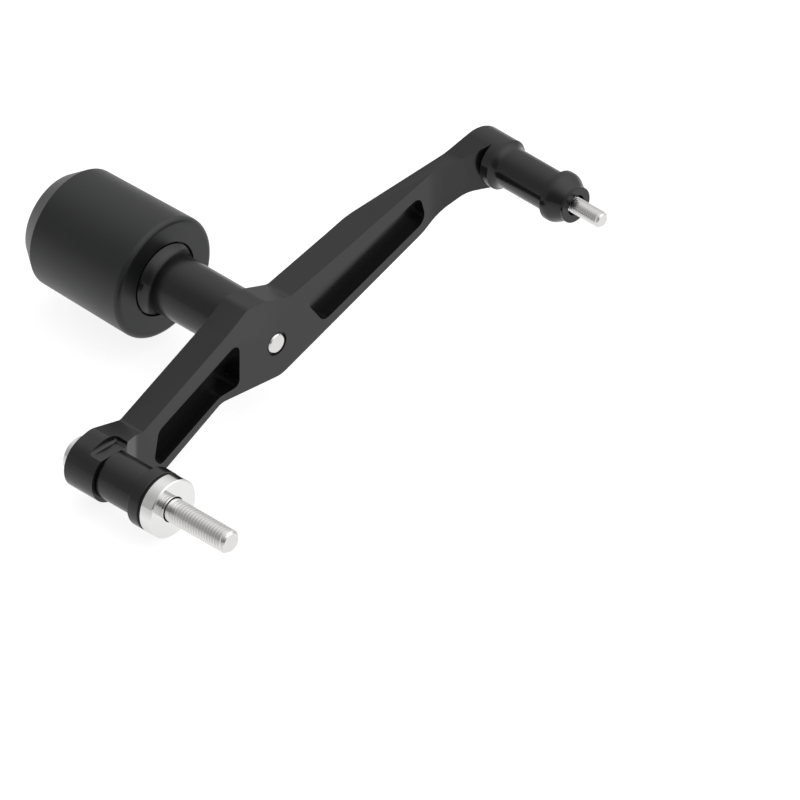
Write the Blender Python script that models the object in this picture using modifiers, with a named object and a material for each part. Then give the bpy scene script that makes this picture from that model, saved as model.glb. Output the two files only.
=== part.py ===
"""Motorcycle frame slider: a nylon puck on a spool-shaped stem, carried by a machined aluminium arm.

The arm bolts to the side of a motorcycle at two places, each through its own spacer. Metres.
+X points inboard, towards the motorcycle, along the bolts. +Y runs along the arm from its lower
bolt to its upper one, and +Z is up. The origin is on the lower bolt's axis, in the face of the
steel washer that is clamped to the motorcycle.
"""
import math

import bmesh
import bpy

MM = 0.001

# Axes, seen along X
LOWER_TO_CENTRE_Y = 110.5 * MM
LOWER_TO_CENTRE_Z = 17.1 * MM
CENTRE_TO_UPPER_Y = 132.0 * MM
CENTRE_TO_UPPER_Z = 44.0 * MM

# Clearances
SEAT_GAP = 0.3 * MM            # between faces that are clamped together
BOLT_CLEARANCE = 0.5 * MM      # round a bolt's shank, in radius
THREAD_GAP = 0.3 * MM          # round a bolt in its tapped hole, in radius
HEAD_CLEARANCE = 0.9 * MM      # round a bolt's head in its counterbore
SPIGOT_GAP = 0.4 * MM          # round the stem's flange in the collar
PUCK_SPIGOT_GAP = 0.9 * MM     # round the stem's flange in the puck

# Arm
LOWER_BOSS_RADIUS = 14.0 * MM
LOWER_BOSS_THICKNESS = 18.25 * MM
UPPER_BOSS_RADIUS = 12.5 * MM
UPPER_BOSS_THICKNESS = 13.1 * MM
UPPER_BOSS_OFFSET = 14.6 * MM      # from the arm's outboard face to the upper boss's, on its axis
INNER_FACE_STEP = 3.5 * MM         # from the lower boss's inboard face back to the arm's
BEND_FROM_CENTRE = 60.0 * MM       # where the outboard face bends inboard, along Y
LOWER_COUNTERBORE_DEPTH = 5.65 * MM
UPPER_COUNTERBORE_DEPTH = 6.2 * MM
COLLAR_RADIUS = 20.0 * MM
COLLAR_HEIGHT = 6.15 * MM
COLLAR_FILLET = 4.0 * MM
RECESS_DEPTH = 3.3 * MM            # of the recess that takes each flange of the stem
LOWER_POCKET_DEPTH = 9.0 * MM
UPPER_POCKET_DEPTH = 6.0 * MM      # less, where the arm gets thinner
FLAT_HEIGHT = 11.4 * MM            # of the flat on the lower boss, over its axis
FLAT_LENGTH = 7.8 * MM             # of that flat, back from the inboard face
FLAT_END_Y = 9.6 * MM
FLAT_FILLET = 1.8 * MM             # in the flat's inside corners

# Lower spacer, seal ring and steel washer, from the motorcycle outwards
LOWER_WASHER_THICKNESS = 7.3 * MM
LOWER_FLANGE_RADIUS = 15.0 * MM
LOWER_FLANGE_THICKNESS = 6.8 * MM
SEAL_RING_THICKNESS = 0.8 * MM
SEAL_RING_INSET = 0.3 * MM
LOWER_SPACER_RADIUS = 12.0 * MM
LOWER_SPACER_NECK = 23.4 * MM
LOWER_SPACER_FILLET = 2.0 * MM
EDGE_CHAMFER = 0.5 * MM
WASHER_CHAMFER = 0.8 * MM

# Upper spacer
UPPER_WAIST_RADIUS = 9.95 * MM
UPPER_FOOT_THICKNESS = 4.35 * MM
UPPER_WAIST_LENGTH = 34.1 * MM
UPPER_RIM_THICKNESS = 3.4 * MM
UPPER_NOSE_LENGTH = 8.3 * MM
UPPER_NOSE_RADIUS = 9.0 * MM
NOSE_DISC_THICKNESS = 1.5 * MM     # of the flat disc that ends the tapered nose
NOSE_NECK_RADIUS = 8.3 * MM        # of the taper's small end, behind the disc
UPPER_SPACER_FILLET = 2.4 * MM
UPPER_SPACER_BORE_CLEARANCE = 1.1 * MM

# Puck and stem
PUCK_LENGTH = 68.4 * MM
PUCK_INNER_RADIUS = 31.05 * MM     # at its inboard end
PUCK_OUTER_RADIUS = 29.9 * MM      # where its outboard chamfer starts
PUCK_CHAMFER_LENGTH = 10.0 * MM
PUCK_NOSE_RADIUS = 22.9 * MM
PUCK_EDGE_ROUND = 2.8 * MM
PUCK_BORE_RADIUS = 15.3 * MM
PUCK_FLOOR = 26.0 * MM             # of nylon between its bore and its inboard face
STEM_RADIUS = 15.0 * MM
STEM_FLANGE_RADIUS = 18.0 * MM
STEM_FLARE_LENGTH = 6.0 * MM
STEM_SHOWN = 52.3 * MM             # from the collar to the puck

# Bolts: socket cap screws
M12_RADIUS = 6.0 * MM
M12_HEAD_RADIUS = 9.0 * MM
M12_HEAD_HEIGHT = 12.0 * MM
M12_SOCKET = 10.0 * MM             # across the flats
M8_RADIUS = 4.0 * MM
M8_HEAD_RADIUS = 6.5 * MM
M8_HEAD_HEIGHT = 8.0 * MM
M8_SOCKET = 6.0 * MM
M10_RADIUS = 5.0 * MM
M10_HEAD_RADIUS = 8.0 * MM
M10_HEAD_HEIGHT = 10.0 * MM
M10_SOCKET = 8.0 * MM
LOWER_BOLT_LENGTH = 90.0 * MM
UPPER_BOLT_LENGTH = 75.0 * MM
CENTRE_BOLT_PROUD = 0.2 * MM       # of its end past the arm's inner face
TAPPED_HOLE_MOUTH_RADIUS = 6.1 * MM
TAPPED_HOLE_MOUTH_DEPTH = 1.0 * MM
TIP_CHAMFER = 1.2 * MM
HEAD_CHAMFER_SHARE = 0.08          # of a head's radius
PUCK_WASHER_RADIUS = 12.0 * MM
PUCK_WASHER_THICKNESS = 2.5 * MM

# Facets
STEPS = 48
PUCK_STEPS = 64
MERGE = 0.00001
FLAT_ANGLE = 0.0001                # below which two faces count as one, in radians
FILLET_SHARE = 0.95                # of the step that a fillet fills, at most

# Places along X, worked out from the motorcycle outwards
SEAL_RING_X = -LOWER_WASHER_THICKNESS - SEAT_GAP
FLANGE_X = SEAL_RING_X - SEAL_RING_THICKNESS - SEAT_GAP
LOWER_SPACER_END = FLANGE_X - LOWER_FLANGE_THICKNESS - LOWER_SPACER_NECK
LOWER_BOSS_X = LOWER_SPACER_END - SEAT_GAP
ARM_OUTER_X = LOWER_BOSS_X - LOWER_BOSS_THICKNESS
ARM_INNER_X = LOWER_BOSS_X - INNER_FACE_STEP
UPPER_BOSS_OUTER_X = ARM_OUTER_X + UPPER_BOSS_OFFSET
UPPER_BOSS_X = UPPER_BOSS_OUTER_X + UPPER_BOSS_THICKNESS
COLLAR_X = ARM_OUTER_X - COLLAR_HEIGHT
PUCK_X = COLLAR_X - STEM_SHOWN
PUCK_END_X = PUCK_X - PUCK_LENGTH

LOWER = (0.0, 0.0)
CENTRE = (LOWER_TO_CENTRE_Y, LOWER_TO_CENTRE_Z)
UPPER = (CENTRE[0] + CENTRE_TO_UPPER_Y, CENTRE[1] + CENTRE_TO_UPPER_Z)
STEM_BORE_RADIUS = M10_RADIUS + BOLT_CLEARANCE
RECESS_RADIUS = STEM_FLANGE_RADIUS + SPIGOT_GAP
PUCK_RECESS_RADIUS = STEM_FLANGE_RADIUS + PUCK_SPIGOT_GAP


def clear_scene():
    """Empty the open file of objects, meshes and materials."""
    for thing in list(bpy.data.objects):
        bpy.data.objects.remove(thing, do_unlink=True)


def new_collection(name):
    """Make a collection and link it to the scene."""
    collection = bpy.data.collections.new(name)
    bpy.context.scene.collection.children.link(collection)
    return collection


def material(name, colour, roughness, metallic):
    """Make a Principled material."""
    made = bpy.data.materials.new(name)
    made.use_nodes = True
    shader = made.node_tree.nodes["Principled BSDF"]
    shader.inputs["Base Color"].default_value = (*colour, 1.0)
    shader.inputs["Roughness"].default_value = roughness
    shader.inputs["Metallic"].default_value = metallic
    return made


def add_object(name, data, collection, finish=None):
    """Put a mesh or curve in a collection as a named object."""
    thing = bpy.data.objects.new(name, data)
    collection.objects.link(thing)
    if finish is not None:
        data.materials.append(finish)
    return thing


def make_cutter(thing):
    """Mark an object as a shape that only cuts or joins."""
    thing.hide_render = True
    thing.display_type = "WIRE"
    return thing


def arc(centre_x, radius_centre, radius, start, end, steps=4):
    """Points (radius, x) on an arc of a turned profile; angles in degrees from the outward axis."""
    points = []
    for i in range(steps + 1):
        angle = math.radians(start + (end - start) * i / steps)
        points.append((radius_centre + radius * math.cos(angle), centre_x + radius * math.sin(angle)))
    return points


def turned(name, profile, axis, collection, finish=None, steps=STEPS, closed=True, spin=0.0):
    """Turn a profile of (radius, x) points about an axis along X through axis = (y, z).

    The profile runs down the outer side, from the inboard end to the outboard one. A closed
    profile goes back up its bore; an open one starts and ends on the axis. The first facet
    starts at the angle spin, so that the facets of two turned shapes don't line up.
    """
    mesh = bpy.data.meshes.new(name)
    built = bmesh.new()
    aside = (math.cos(spin), math.sin(spin))
    corners = [built.verts.new((radius * aside[0], radius * aside[1], height)) for radius, height in profile]
    for first, second in zip(corners, corners[1:]):
        built.edges.new((first, second))
    if closed:
        built.edges.new((corners[-1], corners[0]))
    built.to_mesh(mesh)
    built.free()
    thing = add_object(name, mesh, collection, finish)
    thing.rotation_euler = (0.0, math.pi / 2, 0.0)
    thing.location = (0.0, axis[0], axis[1])
    screw = thing.modifiers.new("Turn", "SCREW")
    screw.axis = "Z"
    screw.angle = 2 * math.pi
    screw.steps = steps
    screw.render_steps = steps
    screw.use_merge_vertices = True
    screw.merge_threshold = MERGE
    screw.use_smooth_shade = True
    return thing


def round_corners(corners, steps=5):
    """Turn (a, b, radius) corners of a closed outline into points, each corner rounded."""
    points = []
    count = len(corners)
    for i, (a, b, radius) in enumerate(corners):
        before = corners[i - 1]
        after = corners[(i + 1) % count]
        if radius == 0.0:
            points.append((a, b))
            continue
        back = (before[0] - a, before[1] - b)
        ahead = (after[0] - a, after[1] - b)
        back_length = math.hypot(*back)
        ahead_length = math.hypot(*ahead)
        back = (back[0] / back_length, back[1] / back_length)
        ahead = (ahead[0] / ahead_length, ahead[1] / ahead_length)
        half = math.acos(max(-1.0, min(1.0, back[0] * ahead[0] + back[1] * ahead[1]))) / 2
        reach = min(radius / math.tan(half), 0.48 * back_length, 0.48 * ahead_length)
        radius = reach * math.tan(half)
        middle = (back[0] + ahead[0], back[1] + ahead[1])
        middle_length = math.hypot(*middle)
        distance = radius / math.sin(half)
        centre = (a + middle[0] / middle_length * distance, b + middle[1] / middle_length * distance)
        start = math.atan2(b + back[1] * reach - centre[1], a + back[0] * reach - centre[0])
        end = math.atan2(b + ahead[1] * reach - centre[1], a + ahead[0] * reach - centre[0])
        sweep = (end - start + math.pi) % (2 * math.pi) - math.pi
        for k in range(steps + 1):
            angle = start + sweep * k / steps
            points.append((centre[0] + radius * math.cos(angle), centre[1] + radius * math.sin(angle)))
    return points


def prism(name, outline, start, end, collection, along_x=True):
    """Extrude a closed outline from start to end: (y, z) points along X, or (x, y) points along Z."""
    curve = bpy.data.curves.new(name, "CURVE")
    curve.dimensions = "2D"
    curve.fill_mode = "BOTH"
    curve.extrude = (end - start) / 2
    curve.resolution_u = 1
    curve.render_resolution_u = 0
    spline = curve.splines.new("POLY")
    spline.points.add(len(outline) - 1)
    for point, (a, b) in zip(spline.points, outline):
        point.co = (a, b, 0.0, 1.0)
    spline.use_cyclic_u = True
    drawn = bpy.data.objects.new(name + "_outline", curve)
    collection.objects.link(drawn)
    middle = (start + end) / 2
    if along_x:
        drawn.rotation_euler = (math.pi / 2, 0.0, math.pi / 2)
        drawn.location = (middle, 0.0, 0.0)
    else:
        drawn.location = (0.0, 0.0, middle)
    bpy.context.view_layer.update()
    evaluated = drawn.evaluated_get(bpy.context.evaluated_depsgraph_get())
    mesh = bpy.data.meshes.new_from_object(evaluated)
    welded = bmesh.new()
    welded.from_mesh(mesh)
    bmesh.ops.remove_doubles(welded, verts=welded.verts, dist=MERGE)
    bmesh.ops.dissolve_limit(welded, angle_limit=FLAT_ANGLE, verts=welded.verts, edges=welded.edges)
    welded.to_mesh(mesh)
    welded.free()
    thing = add_object(name, mesh, collection)
    thing.matrix_world = drawn.matrix_world
    bpy.data.objects.remove(drawn, do_unlink=True)
    return thing


def combine(thing, other, operation):
    """Join, cut or keep the common part of two solids."""
    step = thing.modifiers.new(other.name, "BOOLEAN")
    step.operation = operation
    step.object = other
    step.solver = "EXACT"


def tangent_point(point, centre, radius, side):
    """Where a line from a point touches a circle; side is 1 or -1."""
    offset = (point[0] - centre[0], point[1] - centre[1])
    angle = math.atan2(offset[1], offset[0]) + side * math.acos(radius / math.hypot(*offset))
    return centre[0] + radius * math.cos(angle), centre[1] + radius * math.sin(angle)


def circle_points(centre, radius, first, last, steps):
    """Points on a circle between two of its points, going anticlockwise, ends left out."""
    start = math.atan2(first[1] - centre[1], first[0] - centre[0])
    sweep = (math.atan2(last[1] - centre[1], last[0] - centre[0]) - start) % (2 * math.pi)
    angles = [start + sweep * k / steps for k in range(1, steps)]
    return [(centre[0] + radius * math.cos(a), centre[1] + radius * math.sin(a), 0.0) for a in angles]


def side_outline():
    """The arm's outline seen along X, anticlockwise from the lower boss's underside."""

    def at(axis, along, up, radius):
        return axis[0] + along * MM, axis[1] + up * MM, radius * MM

    lower_rise = LOWER_BOSS_RADIUS / MM
    upper_rise = UPPER_BOSS_RADIUS / MM
    underside = [
        at(LOWER, 34.0, -lower_rise - 5.4, 9.0),
        at(CENTRE, -36.1, -15.3, 9.0),
        at(CENTRE, 2.8, -18.75, 14.0),
        at(UPPER, -35.5, -28.3, 30.0),
        at(UPPER, -15.0, -upper_rise - 0.6, 12.0),
    ]
    top = [
        at(UPPER, -18.5, upper_rise - 7.3, 25.0),
        at(CENTRE, 48.0, 31.9, 40.0),
        at(CENTRE, 8.2, 22.1, 6.0),
        at(CENTRE, -8.0, 27.8, 12.0),
        at(CENTRE, -19.0, 28.8, 5.0),
        at(CENTRE, -34.0, 19.95, 20.0),
        at(LOWER, 22.7, lower_rise - 3.4, 3.0),
        at(LOWER, 3.3, lower_rise + 1.2, 11.0),
    ]
    upper_foot = tangent_point(underside[-1], UPPER, UPPER_BOSS_RADIUS, 1)
    upper_head = tangent_point(top[0], UPPER, UPPER_BOSS_RADIUS, -1)
    lower_head = tangent_point(top[-1], LOWER, LOWER_BOSS_RADIUS, 1)
    lower_foot = tangent_point(underside[0], LOWER, LOWER_BOSS_RADIUS, -1)
    outline = [(*lower_foot, 0.0)]
    outline += underside
    outline += [(*upper_foot, 0.0)]
    outline += circle_points(UPPER, UPPER_BOSS_RADIUS, upper_foot, upper_head, 20)
    outline += [(*upper_head, 0.0)]
    outline += top
    outline += [(*lower_head, 0.0)]
    outline += circle_points(LOWER, LOWER_BOSS_RADIUS, lower_head, lower_foot, 22)
    return round_corners(outline)


def plan_outline():
    """The arm's outline seen from above, as (x, y) points: both bosses and the bend between."""
    past = 2 * UPPER_BOSS_RADIUS
    bend_y = CENTRE[0] + BEND_FROM_CENTRE
    slope = UPPER_BOSS_OFFSET / (UPPER[0] - bend_y)
    corners = [
        (ARM_OUTER_X, -2 * LOWER_BOSS_RADIUS, 0.0),
        (LOWER_BOSS_X, -2 * LOWER_BOSS_RADIUS, 0.0),
        (LOWER_BOSS_X, 9.0 * MM, 4.0 * MM),
        (ARM_INNER_X, 18.5 * MM, 8.0 * MM),
        (ARM_INNER_X, UPPER[0] - 27.5 * MM, 22.0 * MM),
        (UPPER_BOSS_X, UPPER[0] - 4.5 * MM, 3.0 * MM),
        (UPPER_BOSS_X, UPPER[0] + past, 0.0),
        (UPPER_BOSS_OUTER_X + slope * past, UPPER[0] + past, 0.0),
        (ARM_OUTER_X, bend_y, 40.0 * MM),
    ]
    return round_corners(corners)


def pocket_outlines():
    """The outlines of the two pockets in the arm's inner face, as (y, z) points."""

    def at(axis, along, up, radius):
        return axis[0] + along * MM, axis[1] + up * MM, radius * MM

    lower = [
        at(LOWER, 34.4, -13.7, 3.0),
        at(CENTRE, -37.3, -11.6, 9.0),
        at(CENTRE, -24.4, -11.3, 3.5),
        at(CENTRE, -24.4, 13.9, 3.8),
        at(LOWER, 33.2, 6.2, 5.0),
        at(LOWER, 30.5, -8.5, 4.0),
    ]
    upper = [
        at(CENTRE, 30.5, -2.7, 5.0),
        at(UPPER, -34.4, -22.4, 6.0),
        at(UPPER, -38.5, -7.3, 4.2),
        at(CENTRE, 19.0, 13.6, 3.5),
    ]
    return [round_corners(lower), round_corners(upper)]


def drill(name, axis, steps, start, collection):
    """A stepped round cutter along X, from (end, radius) steps that go inboard from start."""
    profile = [(0.0, steps[-1][0])]
    for number in reversed(range(len(steps))):
        end, radius = steps[number]
        profile.append((radius, end))
        profile.append((radius, steps[number - 1][0] if number else start))
    profile.append((0.0, start))
    return make_cutter(turned(name, profile, axis, collection, closed=False, spin=math.pi / STEPS / 2))


def make_arm(parts, cutters, finish):
    """Mill the arm: its outline from above, its outline from the side, then every bore and pocket."""
    past = 3.0 * MM
    outside = COLLAR_X - past
    inside = UPPER_BOSS_X + past
    below = -3 * LOWER_BOSS_RADIUS
    above = UPPER[1] + 3 * UPPER_BOSS_RADIUS
    arm = prism("bracket_arm", plan_outline(), below, above, parts, along_x=False)
    arm.data.materials.append(finish)
    collar_root = ARM_OUTER_X + (ARM_INNER_X - ARM_OUTER_X) / 3
    flare_radius = COLLAR_RADIUS + COLLAR_FILLET
    flare_profile = [(0.0, collar_root), (flare_radius, collar_root)]
    flare_profile += arc(ARM_OUTER_X - COLLAR_FILLET, flare_radius, COLLAR_FILLET, 90, 180)
    flare_profile += [(0.0, ARM_OUTER_X - COLLAR_FILLET)]
    flare = turned("collar_flare", flare_profile, CENTRE, cutters, closed=False)
    combine(arm, make_cutter(flare), "UNION")
    combine(arm, make_cutter(prism("side_shape", side_outline(), outside, inside, cutters)), "INTERSECT")
    collar_profile = [
        (0.0, collar_root),
        (COLLAR_RADIUS, collar_root),
        (COLLAR_RADIUS, COLLAR_X + EDGE_CHAMFER),
        (COLLAR_RADIUS - EDGE_CHAMFER, COLLAR_X),
        (0.0, COLLAR_X),
    ]
    collar = turned("collar_shape", collar_profile, CENTRE, cutters, closed=False, spin=math.pi / STEPS)
    combine(arm, make_cutter(collar), "UNION")
    depths = (LOWER_POCKET_DEPTH, UPPER_POCKET_DEPTH)
    for number, outline in enumerate(pocket_outlines()):
        pocket = prism(f"pocket_{number + 1}", outline, ARM_INNER_X - depths[number], inside, cutters)
        combine(arm, make_cutter(pocket), "DIFFERENCE")
    lower_seat = ARM_OUTER_X + LOWER_COUNTERBORE_DEPTH
    lower_steps = ((lower_seat, M12_HEAD_RADIUS + HEAD_CLEARANCE), (inside, M12_RADIUS + BOLT_CLEARANCE))
    combine(arm, drill("lower_bore", LOWER, lower_steps, outside, cutters), "DIFFERENCE")
    upper_seat = UPPER_BOSS_OUTER_X + UPPER_COUNTERBORE_DEPTH
    upper_steps = ((upper_seat, M8_HEAD_RADIUS + HEAD_CLEARANCE), (inside, M8_RADIUS + BOLT_CLEARANCE))
    combine(arm, drill("upper_bore", UPPER, upper_steps, outside, cutters), "DIFFERENCE")
    mouth = (inside, TAPPED_HOLE_MOUTH_RADIUS)
    tapped = (ARM_INNER_X - TAPPED_HOLE_MOUTH_DEPTH, M10_RADIUS + THREAD_GAP)
    centre_steps = ((COLLAR_X + RECESS_DEPTH, RECESS_RADIUS), tapped, mouth)
    combine(arm, drill("centre_bore", CENTRE, centre_steps, outside, cutters), "DIFFERENCE")
    bpy.ops.mesh.primitive_cube_add(size=1.0)
    flat = bpy.context.object
    flat.name = "lower_boss_flat"
    flat_start = LOWER_BOSS_X - FLAT_LENGTH
    flat.scale = (inside - flat_start, FLAT_END_Y + 2 * LOWER_BOSS_RADIUS, LOWER_BOSS_RADIUS)
    flat.location = (
        (inside + flat_start) / 2,
        (FLAT_END_Y - 2 * LOWER_BOSS_RADIUS) / 2,
        FLAT_HEIGHT + LOWER_BOSS_RADIUS / 2,
    )
    bpy.ops.object.transform_apply(location=False, rotation=False, scale=True)
    for owner in list(flat.users_collection):
        owner.objects.unlink(flat)
    cutters.objects.link(flat)
    rounding = flat.modifiers.new("Fillet", "BEVEL")
    rounding.width = FLAT_FILLET
    rounding.segments = 4
    combine(arm, make_cutter(flat), "DIFFERENCE")
    return arm


def make_lower_stack(parts, aluminium, rubber, steel):
    """The lower spacer, its seal ring and the steel washer that meets the motorcycle."""
    bore = M12_RADIUS + BOLT_CLEARANCE
    flange_back = FLANGE_X - LOWER_FLANGE_THICKNESS
    spacer = [(bore, FLANGE_X), (LOWER_FLANGE_RADIUS - EDGE_CHAMFER, FLANGE_X)]
    spacer += [(LOWER_FLANGE_RADIUS, FLANGE_X - EDGE_CHAMFER)]
    spacer += [(LOWER_FLANGE_RADIUS, flange_back)]
    fillet_radius = min(LOWER_SPACER_FILLET, FILLET_SHARE * (LOWER_FLANGE_RADIUS - LOWER_SPACER_RADIUS))
    spacer += arc(flange_back - fillet_radius, LOWER_SPACER_RADIUS + fillet_radius, fillet_radius, 90, 180)
    spacer += [(LOWER_SPACER_RADIUS, LOWER_SPACER_END), (bore, LOWER_SPACER_END)]
    turned("lower_spacer", spacer, LOWER, parts, aluminium)
    outer = LOWER_FLANGE_RADIUS - SEAL_RING_INSET
    ring = [
        (bore, SEAL_RING_X),
        (outer, SEAL_RING_X),
        (outer, SEAL_RING_X - SEAL_RING_THICKNESS),
        (bore, SEAL_RING_X - SEAL_RING_THICKNESS),
    ]
    turned("lower_seal_ring", ring, LOWER, parts, rubber)
    washer = [
        (bore + EDGE_CHAMFER, 0.0),
        (LOWER_FLANGE_RADIUS - WASHER_CHAMFER, 0.0),
        (LOWER_FLANGE_RADIUS, -WASHER_CHAMFER),
        (LOWER_FLANGE_RADIUS, EDGE_CHAMFER - LOWER_WASHER_THICKNESS),
        (LOWER_FLANGE_RADIUS - EDGE_CHAMFER, -LOWER_WASHER_THICKNESS),
        (bore, -LOWER_WASHER_THICKNESS),
        (bore, -EDGE_CHAMFER),
    ]
    turned("lower_washer", washer, LOWER, parts, steel)


def make_upper_spacer(parts, aluminium):
    """The upper spacer: a foot on the boss, a waist, a rim and a tapered nose that ends in a disc."""
    bore = M8_RADIUS + UPPER_SPACER_BORE_CLEARANCE
    foot = UPPER_BOSS_X + SEAT_GAP
    waist_start = foot + UPPER_FOOT_THICKNESS
    waist_end = waist_start + UPPER_WAIST_LENGTH
    rim_end = waist_end + UPPER_RIM_THICKNESS
    nose = rim_end + UPPER_NOSE_LENGTH
    radius = UPPER_BOSS_RADIUS
    fillet = min(UPPER_SPACER_FILLET, FILLET_SHARE * (radius - UPPER_WAIST_RADIUS))
    neck = nose - NOSE_DISC_THICKNESS
    profile = [(bore, nose), (UPPER_NOSE_RADIUS, nose), (UPPER_NOSE_RADIUS, neck)]
    profile += [(NOSE_NECK_RADIUS, neck), (radius, rim_end), (radius, waist_end)]
    profile += arc(waist_end - fillet, UPPER_WAIST_RADIUS + fillet, fillet, 90, 180)
    profile += arc(waist_start + fillet, UPPER_WAIST_RADIUS + fillet, fillet, 180, 270)
    profile += [(radius, waist_start), (radius, foot), (bore, foot)]
    turned("upper_spacer", profile, UPPER, parts, aluminium)


def make_stem(parts, aluminium):
    """The spool-shaped stem, with a flared flange sunk in the puck and another in the collar."""
    inboard = COLLAR_X + RECESS_DEPTH - SEAT_GAP
    outboard = PUCK_X - RECESS_DEPTH + SEAT_GAP
    rise = STEM_FLANGE_RADIUS - STEM_RADIUS
    flare_radius = (rise ** 2 + STEM_FLARE_LENGTH ** 2) / (2 * rise)
    sweep = math.degrees(math.asin(STEM_FLARE_LENGTH / flare_radius))
    profile = [(STEM_BORE_RADIUS, inboard), (STEM_FLANGE_RADIUS, inboard)]
    waist = STEM_RADIUS + flare_radius
    profile += arc(COLLAR_X - STEM_FLARE_LENGTH, waist, flare_radius, 180 - sweep, 180, 5)
    profile += arc(PUCK_X + STEM_FLARE_LENGTH, waist, flare_radius, 180, 180 + sweep, 5)
    profile += [(STEM_FLANGE_RADIUS, outboard), (STEM_BORE_RADIUS, outboard)]
    turned("puck_stem", profile, CENTRE, parts, aluminium)


def make_puck(parts, nylon):
    """The nylon puck: slightly conical, with a bored and chamfered outboard end."""
    floor = PUCK_X - PUCK_FLOOR
    chamfer_end = PUCK_END_X + PUCK_CHAMFER_LENGTH
    mouth = PUCK_BORE_RADIUS + EDGE_CHAMFER
    profile = [(PUCK_RECESS_RADIUS, PUCK_X)]
    profile += arc(PUCK_X - PUCK_EDGE_ROUND, PUCK_INNER_RADIUS - PUCK_EDGE_ROUND, PUCK_EDGE_ROUND, 90, 0, 5)
    profile += [(PUCK_OUTER_RADIUS, chamfer_end), (PUCK_NOSE_RADIUS, PUCK_END_X), (mouth, PUCK_END_X)]
    profile += [(PUCK_BORE_RADIUS, PUCK_END_X + EDGE_CHAMFER), (PUCK_BORE_RADIUS, floor)]
    profile += [(STEM_BORE_RADIUS, floor), (STEM_BORE_RADIUS, PUCK_X - RECESS_DEPTH)]
    profile += [(PUCK_RECESS_RADIUS, PUCK_X - RECESS_DEPTH)]
    turned("slider_puck", profile, CENTRE, parts, nylon, PUCK_STEPS)


def make_bolt(name, axis, seat, length, radius, head_radius, head_height, socket, parts, cutters, steel):
    """A socket cap screw whose head bears at x = seat and whose shank points inboard."""
    tip = seat + length
    edge = HEAD_CHAMFER_SHARE * head_radius
    profile = [
        (0.0, tip),
        (radius - TIP_CHAMFER, tip),
        (radius, tip - TIP_CHAMFER),
        (radius, seat),
        (head_radius, seat),
        (head_radius, seat - head_height + edge),
        (head_radius - edge, seat - head_height),
        (0.0, seat - head_height),
    ]
    bolt = turned(name, profile, axis, parts, steel, closed=False)
    depth = head_height / 2
    past = head_height / 4
    corners = []
    for k in range(6):
        angle = math.radians(60 * k + 30)
        across = socket / math.sqrt(3)
        corners.append((axis[0] + across * math.cos(angle), axis[1] + across * math.sin(angle)))
    start = seat - head_height - past
    hexagon = make_cutter(prism(name + "_socket", corners, start, seat - head_height + depth, cutters))
    combine(bolt, hexagon, "DIFFERENCE")


def make_bolts(parts, cutters, steel):
    """The three bolts and the washer under the centre bolt's head."""
    lower_seat = ARM_OUTER_X + LOWER_COUNTERBORE_DEPTH - SEAT_GAP
    upper_seat = UPPER_BOSS_OUTER_X + UPPER_COUNTERBORE_DEPTH - SEAT_GAP
    washer_end = PUCK_X - PUCK_FLOOR - SEAT_GAP
    centre_seat = washer_end - PUCK_WASHER_THICKNESS - SEAT_GAP
    centre_length = ARM_INNER_X + CENTRE_BOLT_PROUD - centre_seat
    m12 = (M12_RADIUS, M12_HEAD_RADIUS, M12_HEAD_HEIGHT, M12_SOCKET)
    m8 = (M8_RADIUS, M8_HEAD_RADIUS, M8_HEAD_HEIGHT, M8_SOCKET)
    m10 = (M10_RADIUS, M10_HEAD_RADIUS, M10_HEAD_HEIGHT, M10_SOCKET)
    make_bolt("lower_bolt", LOWER, lower_seat, LOWER_BOLT_LENGTH, *m12, parts, cutters, steel)
    make_bolt("upper_bolt", UPPER, upper_seat, UPPER_BOLT_LENGTH, *m8, parts, cutters, steel)
    make_bolt("centre_bolt", CENTRE, centre_seat, centre_length, *m10, parts, cutters, steel)
    washer = [
        (STEM_BORE_RADIUS, washer_end),
        (PUCK_WASHER_RADIUS, washer_end),
        (PUCK_WASHER_RADIUS, washer_end - PUCK_WASHER_THICKNESS),
        (STEM_BORE_RADIUS, washer_end - PUCK_WASHER_THICKNESS),
    ]
    turned("puck_washer", washer, CENTRE, parts, steel)


def main():
    clear_scene()
    parts = new_collection("motorcycle_frame_slider")
    cutters = new_collection("cutters")
    aluminium = material("black_anodised_aluminium", (0.012, 0.012, 0.013), 0.28, 0.3)
    nylon = material("black_nylon", (0.012, 0.012, 0.012), 0.45, 0.0)
    rubber = material("black_rubber", (0.006, 0.006, 0.006), 0.7, 0.0)
    steel = material("polished_steel", (0.62, 0.62, 0.61), 0.18, 1.0)
    make_arm(parts, cutters, aluminium)
    make_lower_stack(parts, aluminium, rubber, steel)
    make_upper_spacer(parts, aluminium)
    make_stem(parts, aluminium)
    make_puck(parts, nylon)
    make_bolts(parts, cutters, steel)


if __name__ == "__main__":
    main()
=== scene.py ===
"""Looks of a motorcycle frame slider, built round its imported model.

Lengths are in metres where no unit is named, and +X points towards the motorcycle.
"""
import math
from typing import NamedTuple

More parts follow.
